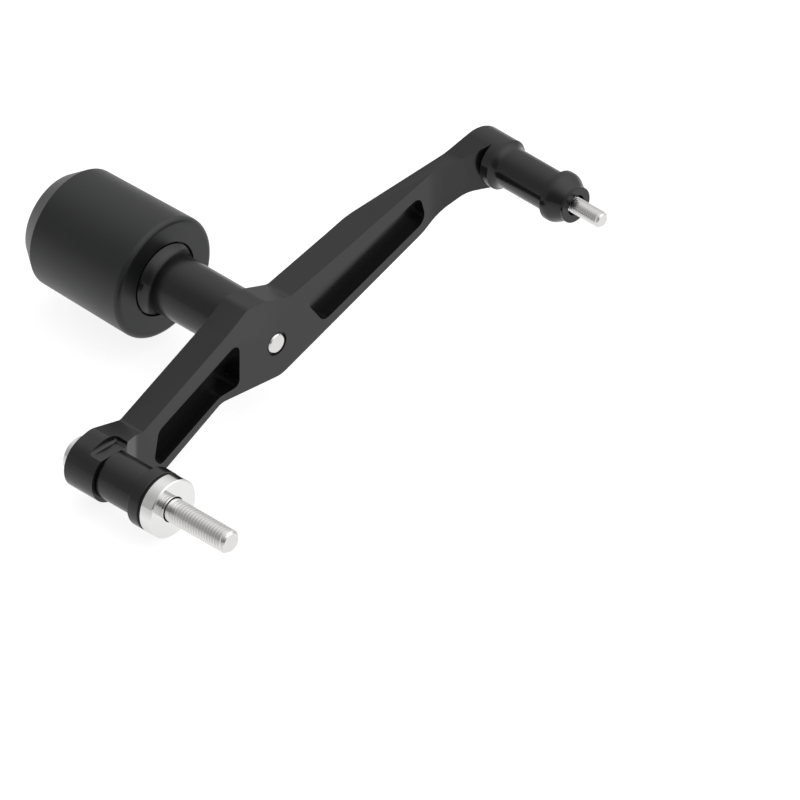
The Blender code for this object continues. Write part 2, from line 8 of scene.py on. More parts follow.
import bmesh
import bpy
from bpy.props import FloatProperty, FloatVectorProperty, IntProperty, PointerProperty
from bpy.types import Operator, Panel, PropertyGroup
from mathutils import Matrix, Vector


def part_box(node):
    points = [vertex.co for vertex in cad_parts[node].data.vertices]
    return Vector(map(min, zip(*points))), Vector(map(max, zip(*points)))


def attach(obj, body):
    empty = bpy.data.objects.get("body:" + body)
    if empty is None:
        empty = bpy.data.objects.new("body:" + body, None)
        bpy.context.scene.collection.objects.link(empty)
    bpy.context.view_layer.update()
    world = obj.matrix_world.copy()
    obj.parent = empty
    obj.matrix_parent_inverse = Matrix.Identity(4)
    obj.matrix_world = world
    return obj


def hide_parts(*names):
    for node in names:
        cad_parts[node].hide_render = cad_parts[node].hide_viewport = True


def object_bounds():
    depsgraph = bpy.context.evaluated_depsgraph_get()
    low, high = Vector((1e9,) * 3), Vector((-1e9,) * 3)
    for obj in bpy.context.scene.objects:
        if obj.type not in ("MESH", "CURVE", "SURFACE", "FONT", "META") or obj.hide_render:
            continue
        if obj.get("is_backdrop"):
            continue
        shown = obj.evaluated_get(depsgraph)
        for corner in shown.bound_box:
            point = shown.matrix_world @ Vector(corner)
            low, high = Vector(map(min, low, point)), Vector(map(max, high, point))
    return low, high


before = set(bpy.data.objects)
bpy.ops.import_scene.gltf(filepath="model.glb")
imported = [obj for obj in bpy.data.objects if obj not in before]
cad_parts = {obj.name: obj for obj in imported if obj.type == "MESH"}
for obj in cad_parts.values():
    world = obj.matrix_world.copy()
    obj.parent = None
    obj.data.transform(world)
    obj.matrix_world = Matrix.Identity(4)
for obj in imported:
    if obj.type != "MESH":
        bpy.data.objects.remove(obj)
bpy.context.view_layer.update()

bl_info = {
    "name": "Frame slider looks",
    "version": (1, 0, 0),
    "blender": (4, 5, 0),
    "location": "3D View > Sidebar > Frame Slider",
    "description": "Builds the pieces, finishes and studio of a motorcycle frame slider",
    "category": "Object",
}

MM = 0.001
BODY = "root"

# Modelling, in mm and degrees
MERGE = 0.001                  # vertices nearer than this are one
CUTTER_PAST = 1.0              # how far outside the metal a cutter starts
ARC_STEPS = 5                  # faces in a rounded corner
THREAD_STEPS = 48              # faces in one turn of a thread
FLAT_ANGLE = 0.5               # faces within this angle are one face
ARM_EDGE_ANGLE = 30.0          # edges of the arm from this angle on are rounded
SMOOTH_ANGLE = 35.0            # edges under this angle are shaded smooth
WASHER_SMOOTH_ANGLE = 25.0
SCREW_SMOOTH_ANGLE = 28.0

# How far from each bore's axis the arm's edges stay sharp, in mm
SHARP_REACH = {"lower_bolt": 11.0, "upper_bolt": 13.2, "centre_bolt": 8.0}

# Puck, and the washer at the bottom of its bore, in mm
PUCK_INNER_RADIUS = 31.05
PUCK_INNER_ROUND = 2.8
PUCK_OUTER_RADIUS = 29.9
PUCK_CHAMFER_LENGTH = 10.0
PUCK_NOSE_RADIUS = 22.9
PUCK_BORE_RADIUS = 15.3
PUCK_RECESS_RADIUS = 18.9
PUCK_RECESS_DEPTH = 3.3
PUCK_WASHER_RADIUS = 12.0
SEAT_GAP = 0.3                 # between that washer and the bore's bottom

# Stem, in mm
STEM_BORE_RADIUS = 5.5
STEM_RADIUS = 15.0
STEM_FLANGE_RADIUS = 18.0
STEM_FLANGE_THICKNESS = 3.0
STEM_FLARE_CORNER = 2.25       # from the flange to the corner that the round takes off
STEM_FLARE_ROUND = 7.5

# Lower spacer, washer and seal ring, in mm
LOWER_BORE_RADIUS = 6.5
LOWER_SPACER_RADIUS = 12.0
LOWER_SPACER_FILLET = 2.0
LOWER_FLANGE_RADIUS = 15.0
LOWER_FLANGE_THICKNESS = 6.8
WASHER_RADIUS = 15.0
WASHER_CHAMFER = 0.6
SEAL_RING_RADIUS = 14.7

# Upper spacer, in mm
UPPER_BORE_RADIUS = 5.1
NOSE_RADIUS = 9.0
NOSE_DISC_THICKNESS = 1.5
NOSE_NECK_RADIUS = 8.3
NOSE_LENGTH = 8.3
RIM_RADIUS = 12.5
RIM_LENGTH = 3.4
RIM_ROUND = 6.0
WAIST_RADIUS = 9.95
WAIST_FILLET = 2.35
FOOT_LENGTH = 4.35
FOOT_FLARE_CORNER = 5.78       # from the foot's end to the corner that the round takes off
FOOT_FLARE_ROUND = 4.95
FOOT_REACH = 0.28              # towards the boss that it is clamped to, so the seam hardly shows

# Screws, in mm and shares
LOWER_SCREW_LENGTH = 90.0
UPPER_SCREW_LENGTH = 75.0
CENTRE_HEAD_HEIGHT = 10.0
SHANK_INSET = 0.03             # keeps the shank off the thread's surfaces
SHANK_STOP = 0.4               # how far before the thread's start the full shank ends
CORE_START = 0.5               # and how far after it the core begins
CORE_SHORT = 1.6               # how far the core stops before the tip
SOCKET_DEPTH = 0.62            # of the head's radius
MOUTH_FLARE = 1.6              # wider than the socket, where the mouth's cutter starts
MOUTH_DEPTH = 0.06             # of the socket's width across flats
DRILL_SLOPE = 0.5              # depth of the drill's point for 1 mm of radius
THREAD_DEPTH = 0.6134          # of the pitch
SPARE_TURNS = 1.5              # at either end of a thread, cut off again
TIP_SLOPE = 1.1                # length of the tip's chamfer for 1 mm of radius

# One turn of a thread: on the crest or not, and where along the pitch
THREAD_PROFILE = (
    (False, 0.0),
    (False, 0.125),
    (True, 0.4375),
    (True, 0.5625),
    (False, 0.875),
    (False, 1.0),
)

# Studio, in metres where it is a length
FLOOR_SIZE = 12.0
FLOOR_CENTRE = (0.0, 0.1)
FLOOR_GREY = 0.3
FLOOR_SEEN = 0.86              # the floor's own glow as the camera sees it
FLOOR_SLOPES = (0.15, 0.58)    # rise of a reflected ray where it sees the floor's far and near side
FLOOR_GLOW = (0.42, 0.7)       # glow of the far and the near side
LAMP_WAY = (0.3, 0.35, 0.89)   # overhead, a little inboard and behind
LAMP_FALLOFF = 2.0             # power of the cosine off the lamp's middle
DARK_WAY = (0.5, -0.85, 0.2)   # low at the front
DARK_REACH = (0.6, 0.97)       # cosines off that way where the room starts and ends darkening
BACKDROP = 1.25                # turns the background's own 0.8 grey white
CAMERA_WAY = (1.0, -1.0, 1.0)
CAMERA_AIM = (0.0, 148.13 * MM, -12.16 * MM)
CAMERA_DISTANCE = 1.5
CAMERA_CLIP = 20.0


class ScrewForm(NamedTuple):
    """Sizes of a socket head screw, in mm."""

    shank: float               # radius, over the thread
    head: float                # radius
    across: float              # flats of the socket
    flat: float                # radius of the tip's end face
    threaded: float            # length from the tip, or 0 where no thread shows
    bevel_in: float            # the head's bevel, across its end face
    bevel_along: float         # and along the screw


LOWER_SCREW = ScrewForm(
    shank=6.0, head=9.0, across=10.0, flat=4.7, threaded=36.0, bevel_in=1.3, bevel_along=1.1
)
UPPER_SCREW = ScrewForm(
    shank=4.0, head=6.5, across=6.0, flat=2.9, threaded=28.0, bevel_in=0.9, bevel_along=1.2
)
CENTRE_SCREW = ScrewForm(
    shank=5.05, head=8.0, across=8.0, flat=4.4, threaded=0.0, bevel_in=0.7, bevel_along=0.7
)


def linear(code):
    """Turn an sRGB hex colour such as "#C8C8C6" into linear red, green and blue."""
    parts = [int(code[i:i + 2], 16) / 255 for i in (1, 3, 5)]
    return tuple(c / 12.92 if c <= 0.04045 else ((c + 0.055) / 1.055) ** 2.4 for c in parts)


def ends(node):
    """A node's outboard and inboard ends along X, in mm."""
    low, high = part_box(node)
    return low.x / MM, high.x / MM


def axis_of(node):
    """The (y, z) of a round node's axis, in metres."""
    low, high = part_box(node)
    return (low.y + high.y) / 2, (low.z + high.z) / 2


class SliderSizes(PropertyGroup):
    """Sizes of the fine detail that the solids leave out."""

    round_steps: IntProperty(
        name="Round steps", description="Faces round a turned piece", default=144, min=24
    )
    edge: FloatProperty(
        name="Edge",
        description="Round on the arm's milled edges",
        default=0.12 * MM,
        unit="LENGTH",
    )
    lower_pitch: FloatProperty(
        name="Lower pitch",
        description="Thread pitch of the lower screw",
        default=1.75 * MM,
        unit="LENGTH",
    )
    upper_pitch: FloatProperty(
        name="Upper pitch",
        description="Thread pitch of the upper screw",
        default=1.25 * MM,
        unit="LENGTH",
    )


class SliderColours(PropertyGroup):
    """Colours of the finishes, as linear values."""

    anodised: FloatVectorProperty(
        name="Anodised",
        description="Dyed oxide layer on the aluminium",
        subtype="COLOR",
        default=linear("#111112"),
    )
    nylon: FloatVectorProperty(
        name="Nylon",
        description="Black nylon of the puck",
        subtype="COLOR",
        default=linear("#111213"),
    )
    rubber: FloatVectorProperty(
        name="Rubber",
        description="Black rubber of the seal ring",
        subtype="COLOR",
        default=linear("#090909"),
    )
    steel: FloatVectorProperty(
        name="Steel",
        description="Stainless steel of the screws",
        subtype="COLOR",
        default=linear("#E6E5E4"),
    )
    washer: FloatVectorProperty(
        name="Washer",
        description="Polished steel of the washer",
        subtype="COLOR",
        default=linear("#F0F0EF"),
    )


class SliderStudio(PropertyGroup):
    """The floor, the light and the camera's frame."""

    lamp: FloatProperty(name="Lamp", description="What the broad soft lamp overhead adds", default=1.5)
    walls: FloatProperty(name="Walls", description="Brightness of the studio all round", default=0.56)
    shade: FloatProperty(name="Shade", description="Share of light left low at the front", default=0.45)
    floor_drop: FloatProperty(
        name="Floor drop",
        description="Room between the slider and the floor",
        default=1.0 * MM,
        unit="LENGTH",
    )
    frame_width: FloatProperty(
        name="Frame width",
        description="Width that the camera takes in",
        default=369.5 * MM,
        unit="LENGTH",
    )


def deselect():
    """Leave nothing selected, in object mode."""
    if bpy.context.object and bpy.context.object.mode != "OBJECT":
        bpy.ops.object.mode_set(mode="OBJECT")
    bpy.ops.object.select_all(action="DESELECT")


def select_only(thing):
    """Select one object and make it active."""
    deselect()
    thing.select_set(True)
    bpy.context.view_layer.objects.active = thing


def rounded(corners, closed):
    """Turn (radius, x, round) corners in mm into (radius, x) points, with an arc at each corner."""
    points = []
    count = len(corners)
    for i, (radius, x, bend) in enumerate(corners):
        inside = closed or 0 < i < count - 1
        if not (bend and inside):
            points.append((radius, x))
            continue
        here = Vector((radius, x))
        back = Vector(corners[i - 1][:2]) - here
        ahead = Vector(corners[(i + 1) % count][:2]) - here
        back.normalize()
        ahead.normalize()
        half = back.angle(ahead) / 2
        middle = here + (back + ahead).normalized() * (bend / math.sin(half))
        first = here + back * (bend / math.tan(half)) - middle
        last = here + ahead * (bend / math.tan(half)) - middle
        start = math.atan2(first.y, first.x)
        sweep = (math.atan2(last.y, last.x) - start + math.pi) % (2 * math.pi) - math.pi
        for k in range(ARC_STEPS + 1):
            angle = start + sweep * k / ARC_STEPS
            points.append((middle.x + bend * math.cos(angle), middle.y + bend * math.sin(angle)))
    if closed:
        points.append(points[0])
    return points


def draw(name, points, axis):
    """Start a piece from one vertex over the axis, and extrude it from point to point."""
    deselect()
    radius, x = points[0]
    bpy.ops.mesh.primitive_plane_add(size=MM, location=(x * MM, axis[0], axis[1] + radius * MM))
    piece = bpy.context.object
    piece.name = name
    piece.data.name = name
    bpy.ops.object.mode_set(mode="EDIT")
    bpy.ops.mesh.merge(type="CENTER")
    for (radius, x), (next_radius, next_x) in zip(points, points[1:]):
        step = ((next_x - x) * MM, 0.0, (next_radius - radius) * MM)
        bpy.ops.mesh.extrude_region_move(TRANSFORM_OT_translate={"value": step})
    return piece


def turned(name, corners, axis, closed=True):
    """Draw half a section of (radius, x, round) corners in mm, and spin it round a line along X."""
    piece = draw(name, rounded(corners, closed), axis)
    bpy.ops.mesh.select_all(action="SELECT")
    steps = bpy.context.scene.slider_sizes.round_steps
    bpy.ops.mesh.spin(steps=steps, angle=2 * math.pi, center=(0.0, *axis), axis=(1.0, 0.0, 0.0))
    seal(piece)
    return piece


def merge_doubles():
    """Merge the vertices that share a place in the mesh being edited, and leave all selected."""
    bpy.ops.mesh.select_all(action="SELECT")
    bpy.ops.mesh.remove_doubles(threshold=MERGE * MM)
    bpy.ops.mesh.select_all(action="SELECT")


def settle(piece):
    """Put a piece's place and turn into its mesh."""
    select_only(piece)
    bpy.ops.object.transform_apply(location=True, rotation=True, scale=True)


def seal(piece):
    """Merge doubles, turn the faces outwards, leave edit mode and put the piece's place in its mesh."""
    merge_doubles()
    bpy.ops.mesh.normals_make_consistent(inside=False)
    settle(piece)


def apply_step(piece, kind, **settings):
    """Add a modifier to a piece and apply it."""
    select_only(piece)
    step = piece.modifiers.new(kind.title(), kind)
    for name, value in settings.items():
        setattr(step, name, value)
    bpy.ops.object.modifier_apply(modifier=step.name)


def combine(piece, other, operation):
    """Cut a piece with another one, or join the two, and delete the other."""
    apply_step(piece, "BOOLEAN", operation=operation, object=other, solver="EXACT")
    bpy.data.objects.remove(other, do_unlink=True)


def shade(piece, angle=SMOOTH_ANGLE):
    """Shade smooth between sharp edges, with each flat face kept flat."""
    select_only(piece)
    bpy.ops.object.shade_smooth_by_angle(angle=math.radians(angle))
    apply_step(piece, "WEIGHTED_NORMAL", mode="FACE_AREA", keep_sharp=True)


def carry(piece, finish, slot, *nodes):
    """Give a finished piece its material and its body, and hide the nodes that it stands for. The slot
    is not used.
    """
    piece.data.materials.clear()
    piece.data.materials.append(finish)
    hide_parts(*nodes)
    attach(piece, BODY)


def feed(tree, node, inputs):
    """Set a node's inputs, to values or to links."""
    for socket, value in inputs.items():
        if isinstance(value, bpy.types.NodeSocket):
            tree.links.new(value, node.inputs[socket])
        else:
            node.inputs[socket].default_value = value


def add(tree, kind, inputs=None, **settings):
    """Add a node with its settings and its inputs."""
    made = tree.nodes.new(kind)
    for name, value in settings.items():
        setattr(made, name, value)
    feed(tree, made, inputs or {})
    return made


def maths(tree, operation, *values):
    """Add a sum, product or other such node, and return what it gives."""
    return add(tree, "ShaderNodeMath", dict(enumerate(values)), operation=operation).outputs[0]


def ranged(tree, value, given, wanted, **settings):
    """Map a value from one pair of ends to another, and return it."""
    inputs = {
        "Value": value,
        "From Min": given[0],
        "From Max": given[1],
        "To Min": wanted[0],
        "To Max": wanted[1],
    }
    return add(tree, "ShaderNodeMapRange", inputs, **settings).outputs[0]


def blended(tree, share, first, second):
    """Mix two colours by a share, and return the result."""
    return add(tree, "ShaderNodeMix", {0: share, 6: first, 7: second}, data_type="RGBA").outputs[2]


def toned(colour, share):
    """A colour times a share, with full alpha."""
    return (*[c * share for c in colour], 1.0)


def noise(tree, place, scale, detail):
    """Add noise at a scale in turns per metre, and return its strength."""
    inputs = {"Vector": place, "Scale": scale, "Detail": detail}
    return add(tree, "ShaderNodeTexNoise", inputs).outputs["Fac"]


def waves(tree, place, scale, distortion, **settings):
    """Add waves for tool or polishing marks, and return their height."""
    inputs = {"Vector": place, "Scale": scale, "Distortion": distortion, "Detail": 2.0}
    return add(tree, "ShaderNodeTexWave", inputs, **settings).outputs["Fac"]


def start_material(name):
    """Make a material and return it with its tree and its object coordinates."""
    made = bpy.data.materials.new(name)
    made.use_nodes = True
    tree = made.node_tree
    return made, tree, add(tree, "ShaderNodeTexCoord").outputs["Object"]


def dress(tree, colour, gloss, height, strength, depth, **constants):
    """Give the shader its colour, its gloss, a bump with its depth in mm, and its constant values."""
    bump = add(tree, "ShaderNodeBump", {"Height": height, "Strength": strength, "Distance": depth * MM})
    surface = {"Base Color": colour, "Roughness": gloss, "Normal": bump.outputs["Normal"]}
    feed(tree, tree.nodes["Principled BSDF"], {**surface, **constants})


def black_anodised(name, colour, turned_marks):
    """Black anodised aluminium: a dyed oxide layer, so it reflects like glass and not like metal.

    Milled and blasted before the bath, which leaves a fine satin grain. Turned pieces keep faint
    rings from the lathe instead.
    """
    made, tree, place = start_material(name)
    # Uneven dye and sealing, in patches of about 15 mm
    patches = noise(tree, place, scale=65.0, detail=3.0)
    tone = blended(tree, patches, toned(colour, 0.8), toned(colour, 1.2))
    # The dye is rubbed thin on the edges
    point = add(tree, "ShaderNodeNewGeometry").outputs["Pointiness"]
    worn = ranged(tree, point, (0.53, 0.62), (0.0, 0.25))
    rubbed = blended(tree, worn, tone, toned(linear("#2E2E30"), 1.0))
    gloss = ranged(tree, patches, (0.3, 0.7), (0.18, 0.24))
    if turned_marks:
        # Lathe feed of 0.15 mm, drawn at 0.6 mm
        height = waves(tree, place, scale=520.0, distortion=1.5, wave_type="BANDS", bands_direction="X")
        depth = 0.002
    else:
        # Blasted grain of 0.1 mm, drawn at 0.7 mm because finer doesn't show in the render
        height = noise(tree, place, scale=1400.0, detail=2.0)
        depth = 0.0015
    dress(tree, rubbed, gloss, height, strength=0.5, depth=depth, IOR=1.5)
    return made


def black_nylon(colour):
    """Black cast nylon, turned on a lathe: a soft satin plastic with faint tool rings."""
    made, tree, place = start_material("turned_black_nylon")
    patches = noise(tree, place, scale=50.0, detail=3.0)
    tone = blended(tree, patches, toned(colour, 0.8), toned(colour, 1.25))
    gloss = ranged(tree, patches, (0.3, 0.7), (0.33, 0.4))
    # Tool feed of 0.2 mm, drawn at 0.8 mm
    rings = waves(tree, place, scale=390.0, distortion=2.0, wave_type="BANDS", bands_direction="X")
    dress(tree, tone, gloss, rings, strength=0.5, depth=0.003, IOR=1.52)
    return made


def black_rubber(colour):
    """Black rubber, moulded: matt, with a fine skin."""
    made, tree, place = start_material("moulded_black_rubber")
    skin = noise(tree, place, scale=1200.0, detail=2.0)
    gloss = ranged(tree, skin, (0.0, 1.0), (0.6, 0.8))
    dress(tree, toned(colour, 1.0), gloss, skin, strength=0.4, depth=0.01)
    return made


def bright_steel(name, colour, axis, rough):
    """Stainless steel, turned and polished: a mirror with fine rings round its axis."""
    made, tree, place = start_material(name)
    smudge = noise(tree, place, scale=180.0, detail=3.0)
    gloss = ranged(tree, smudge, (0.3, 0.7), (rough * 0.8, rough * 1.2))
    tone = blended(tree, smudge, toned(colour, 0.96), toned(colour, 1.0))
    # Painted shade: the thread's roots are darkened nearly to black, for the shade that falls in them
    point = add(tree, "ShaderNodeNewGeometry").outputs["Pointiness"]
    unshaded_share = ranged(tree, point, (0.42, 0.49), (0.0, 1.0))
    root_shaded_tone = blended(tree, unshaded_share, toned(colour, 0.12), tone)
    # Polishing lines of 0.05 mm, drawn at 0.5 mm
    moved = {"Vector": place, "Location": (0.0, -axis[0], -axis[1])}
    centred = add(tree, "ShaderNodeMapping", moved).outputs[0]
    rings = waves(tree, centred, scale=630.0, distortion=1.0, wave_type="RINGS", rings_direction="X")
    dress(tree, root_shaded_tone, gloss, rings, strength=0.3, depth=0.001, Metallic=1.0)
    return made


def is_rounded(edge, bores):
    """Whether an edge of the arm is rounded: sharp outer edges are, those round the bores aren't."""
    if len(edge.link_faces) != 2 or not edge.is_convex:
        return False
    if edge.calc_face_angle() < math.radians(ARM_EDGE_ANGLE):
        return False
    middle = (edge.verts[0].co + edge.verts[1].co) / 2
    return all(math.hypot(middle.y - y, middle.z - z) > reach for (y, z), reach in bores)


class FRAMESLIDER_OT_arm(Operator):
    """Copy the milled arm from its solid and round its edges"""

    bl_idname = "frame_slider.arm"
    bl_label = "Milled Arm"

    def execute(self, context):
        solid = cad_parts["bracket_arm"]
        arm = bpy.data.objects.new("milled_arm", solid.data.copy())
        context.scene.collection.objects.link(arm)
        select_only(arm)
        bpy.ops.object.mode_set(mode="EDIT")
        bpy.ops.mesh.select_all(action="SELECT")
        bpy.ops.mesh.customdata_custom_splitnormals_clear()
        merge_doubles()
        bpy.ops.mesh.dissolve_limited(angle_limit=math.radians(FLAT_ANGLE))
        shape = bmesh.from_edit_mesh(arm.data)
        weight = shape.edges.layers.float.new("bevel_weight_edge")
        bores = [(axis_of(node), reach * MM) for node, reach in SHARP_REACH.items()]
        for edge in shape.edges:
            edge[weight] = 1.0 if is_rounded(edge, bores) else 0.0
        bmesh.update_edit_mesh(arm.data)
        width = context.scene.slider_sizes.edge
        apply_step(arm, "BEVEL", limit_method="WEIGHT", width=width, segments=2, use_clamp_overlap=True)
        shade(arm)
        colour = context.scene.slider_colours.anodised
        finish = black_anodised("milled_black_anodised_aluminium", colour, turned_marks=False)
        carry(arm, finish, "aluminium", "bracket_arm")
        return {"FINISHED"}


class FRAMESLIDER_OT_puck(Operator):
    """Turn the nylon puck and the washer inside it"""

    bl_idname = "frame_slider.puck"
    bl_label = "Puck"

    def execute(self, context):
        end, face = ends("slider_puck")
        low, high = ends("puck_washer")
        axis = axis_of("slider_puck")
        floor = high + SEAT_GAP
        section = [
            (PUCK_RECESS_RADIUS, face, 0.2),
            (PUCK_INNER_RADIUS, face, PUCK_INNER_ROUND),
            (PUCK_OUTER_RADIUS, end + PUCK_CHAMFER_LENGTH, 0.3),
            (PUCK_NOSE_RADIUS, end, 0.4),
            (PUCK_BORE_RADIUS, end, 0.6),
            (PUCK_BORE_RADIUS, floor, 1.0),
            (STEM_BORE_RADIUS, floor, 0.2),
            (STEM_BORE_RADIUS, face - PUCK_RECESS_DEPTH, 0.2),
            (PUCK_RECESS_RADIUS, face - PUCK_RECESS_DEPTH, 0.4),
        ]
        puck = turned("nylon_puck", section, axis)
        shade(puck)
        carry(puck, black_nylon(context.scene.slider_colours.nylon), "nylon", "slider_puck")
        section = [
            (STEM_BORE_RADIUS, high, 0.2),
            (PUCK_WASHER_RADIUS, high, 0.4),
            (PUCK_WASHER_RADIUS, low, 0.2),
            (STEM_BORE_RADIUS, low, 0.2),
        ]
        inner = turned("inner_washer", section, axis)
        shade(inner)
        colour = context.scene.slider_colours.steel
        finish = bright_steel("bright_steel_inner_washer", colour, axis, rough=0.2)
        carry(inner, finish, "steel", "puck_washer")
        return {"FINISHED"}


class FRAMESLIDER_OT_spacers(Operator):
    """Turn the black aluminium stem and the two spacers"""

    bl_idname = "frame_slider.spacers"
    bl_label = "Stem and Spacers"

    def execute(self, context):
        back, front = ends("puck_stem")
        collar = front - STEM_FLANGE_THICKNESS
        puck = back + STEM_FLANGE_THICKNESS
        stem = [
            (STEM_BORE_RADIUS, front, 0.2),
            (STEM_FLANGE_RADIUS, front, 0.2),
            (STEM_FLANGE_RADIUS, collar, 0.0),
            (STEM_RADIUS, collar - STEM_FLARE_CORNER, STEM_FLARE_ROUND),
            (STEM_RADIUS, puck + STEM_FLARE_CORNER, STEM_FLARE_ROUND),
            (STEM_FLANGE_RADIUS, puck, 0.0),
            (STEM_FLANGE_RADIUS, back, 0.2),
            (STEM_BORE_RADIUS, back, 0.2),
        ]
        back, front = ends("lower_spacer")
        flange = front - LOWER_FLANGE_THICKNESS
        lower = [
            (LOWER_BORE_RADIUS, front, 0.2),
            (LOWER_FLANGE_RADIUS, front, 0.6),
            (LOWER_FLANGE_RADIUS, flange, 0.6),
            (LOWER_SPACER_RADIUS, flange, LOWER_SPACER_FILLET),
            (LOWER_SPACER_RADIUS, back, 0.4),
            (LOWER_BORE_RADIUS, back, 0.2),
        ]
        foot, nose = ends("upper_spacer")
        rim = nose - NOSE_LENGTH
        seat = foot - FOOT_REACH
        upper = [
            (UPPER_BORE_RADIUS, nose, 0.3),
            (NOSE_RADIUS, nose, 0.3),
            (NOSE_RADIUS, nose - NOSE_DISC_THICKNESS, 0.15),
            (NOSE_NECK_RADIUS, nose - NOSE_DISC_THICKNESS, 0.2),
            (RIM_RADIUS, rim, RIM_ROUND),
            (RIM_RADIUS, rim - RIM_LENGTH, 0.12),
            (WAIST_RADIUS, rim - RIM_LENGTH, WAIST_FILLET),
            (WAIST_RADIUS, foot + FOOT_FLARE_CORNER, FOOT_FLARE_ROUND),
            (RIM_RADIUS, foot + FOOT_LENGTH, 0.0),
            (RIM_RADIUS, seat, 0.0),
            (UPPER_BORE_RADIUS, seat, 0.2),
        ]
        colour = context.scene.slider_colours.anodised
        finish = black_anodised("turned_black_anodised_aluminium", colour, turned_marks=True)
        for name, section, node in (
            ("turned_stem", stem, "puck_stem"),
            ("flanged_spacer", lower, "lower_spacer"),
            ("tapered_spacer", upper, "upper_spacer"),
        ):
            piece = turned(name, section, axis_of(node))
            shade(piece)
            carry(piece, finish, "aluminium", node)
        return {"FINISHED"}


class FRAMESLIDER_OT_washer(Operator):
    """Turn the polished steel washer and the rubber ring behind it"""

    bl_idname = "frame_slider.washer"
    bl_label = "Washer and Seal Ring"

    def execute(self, context):
        axis = axis_of("lower_washer")
        back, front = ends("lower_washer")
        section = [
            (LOWER_BORE_RADIUS, front, 0.1),
            (WASHER_RADIUS - WASHER_CHAMFER, front, 0.15),
            (WASHER_RADIUS, front - WASHER_CHAMFER, 0.15),
            (WASHER_RADIUS, back, 0.5),
            (LOWER_BORE_RADIUS, back, 0.2),
        ]
        washer = turned("steel_washer", section, axis)
        shade(washer, WASHER_SMOOTH_ANGLE)
        colour = context.scene.slider_colours.washer
        finish = bright_steel("polished_steel_washer", colour, axis, rough=0.09)
        carry(washer, finish, "polished_steel", "lower_washer")
        back, front = ends("lower_seal_ring")
        section = [
            (LOWER_BORE_RADIUS, front, 0.1),
            (SEAL_RING_RADIUS, front, 0.3),
            (SEAL_RING_RADIUS, back, 0.3),
            (LOWER_BORE_RADIUS, back, 0.1),
        ]
        ring = turned("seal_ring", section, axis)
        shade(ring)
        carry(ring, black_rubber(context.scene.slider_colours.rubber), "rubber", "lower_seal_ring")
        return {"FINISHED"}


def thread(start, tip, form, pitch, axis):
    """A closed screw thread from start to tip in mm, chamfered down to the tip's flat."""
    root = form.shank - THREAD_DEPTH * pitch
    first = start - SPARE_TURNS * pitch
    points = [(form.shank if crest else root, first + share * pitch) for crest, share in THREAD_PROFILE]
    piece = draw("thread", points, (0.0, 0.0))
    settle(piece)
    apply_step(
        piece,
        "SCREW",
        axis="X",
        angle=2 * math.pi,
        screw_offset=pitch * MM,
        iterations=math.ceil((tip - start) / pitch + 2 * SPARE_TURNS),
        steps=THREAD_STEPS,
        render_steps=THREAD_STEPS,
        use_merge_vertices=True,
        merge_threshold=MERGE * MM,
    )
    bpy.ops.object.mode_set(mode="EDIT")
    merge_doubles()
    for place, side in ((start, -1.0), (tip, 1.0)):
        bpy.ops.mesh.select_all(action="SELECT")
        bpy.ops.mesh.bisect(
            plane_co=(place * MM, 0.0, 0.0),
            plane_no=(side, 0.0, 0.0),
            use_fill=True,
            clear_outer=True,
            threshold=MERGE * MM,
        )
    seal(piece)
    for vertex in piece.data.vertices:
        place = Vector((0.0, vertex.co.y, vertex.co.z))
        room = form.flat + (tip - vertex.co.x / MM) / TIP_SLOPE
        if place.length > room * MM:
            place *= room * MM / place.length
            vertex.co.y = place.y
            vertex.co.z = place.z
    piece.location = (0.0, *axis)
    settle(piece)
    return piece


def socket(name, mouth, form, axis):
    """The hexagonal cutter of a screw's socket, with a drilled cone below and a chamfered mouth."""
    depth = form.head * SOCKET_DEPTH
    deselect()
    bpy.ops.mesh.primitive_cylinder_add(
        vertices=6,
        radius=form.across / math.sqrt(3) * MM,
        depth=(depth + CUTTER_PAST) * MM,
        location=((mouth + (depth - CUTTER_PAST) / 2) * MM, *axis),
        rotation=(math.pi / 2, 0.0, math.pi / 2),
    )
    hexagon = bpy.context.object
    hexagon.name = name
    settle(hexagon)
    drilled = form.across / 2
    cone = [
        (0.0, mouth - CUTTER_PAST, 0.0),
        (drilled + MOUTH_FLARE, mouth - CUTTER_PAST, 0.0),
        (drilled, mouth + MOUTH_DEPTH * form.across, 0.0),
        (drilled, mouth + depth, 0.0),
        (0.0, mouth + depth + DRILL_SLOPE * drilled, 0.0),
    ]
    combine(hexagon, turned("socket_mouth", cone, axis, closed=False), "UNION")
    return hexagon


def screw(node, name, seat, form, pitch, finish):
    """A socket head screw: head and shank turned, socket cut, thread joined on."""
    axis = axis_of(node)
    head_end, tip = ends(node)
    start = tip - form.threaded
    shank = form.shank - SHANK_INSET
    if form.threaded:
        core = form.shank - THREAD_DEPTH * pitch + SHANK_INSET
        section = [
            (0.0, tip - CORE_SHORT, 0.0),
            (core, tip - CORE_SHORT, 0.0),
            (core, start + CORE_START, 0.0),
            (shank, start - SHANK_STOP, 0.1),
        ]
    else:
        section = [
            (0.0, tip, 0.0),
            (form.flat, tip, 0.1),
            (form.shank, tip - (form.shank - form.flat), 0.1),
        ]
    section += [
        (shank, seat, 0.3),
        (form.head, seat, 0.3),
        (form.head, head_end + form.bevel_along, 0.3),
        (form.head - form.bevel_in, head_end, 0.3),
        (0.0, head_end, 0.0),
    ]
    piece = turned(name, section, axis, closed=False)
    combine(piece, socket(name + "_socket", head_end, form, axis), "DIFFERENCE")
    if form.threaded:
        combine(piece, thread(start, tip, form, pitch, axis), "UNION")
    shade(piece, SCREW_SMOOTH_ANGLE)
    carry(piece, finish, "steel", node)


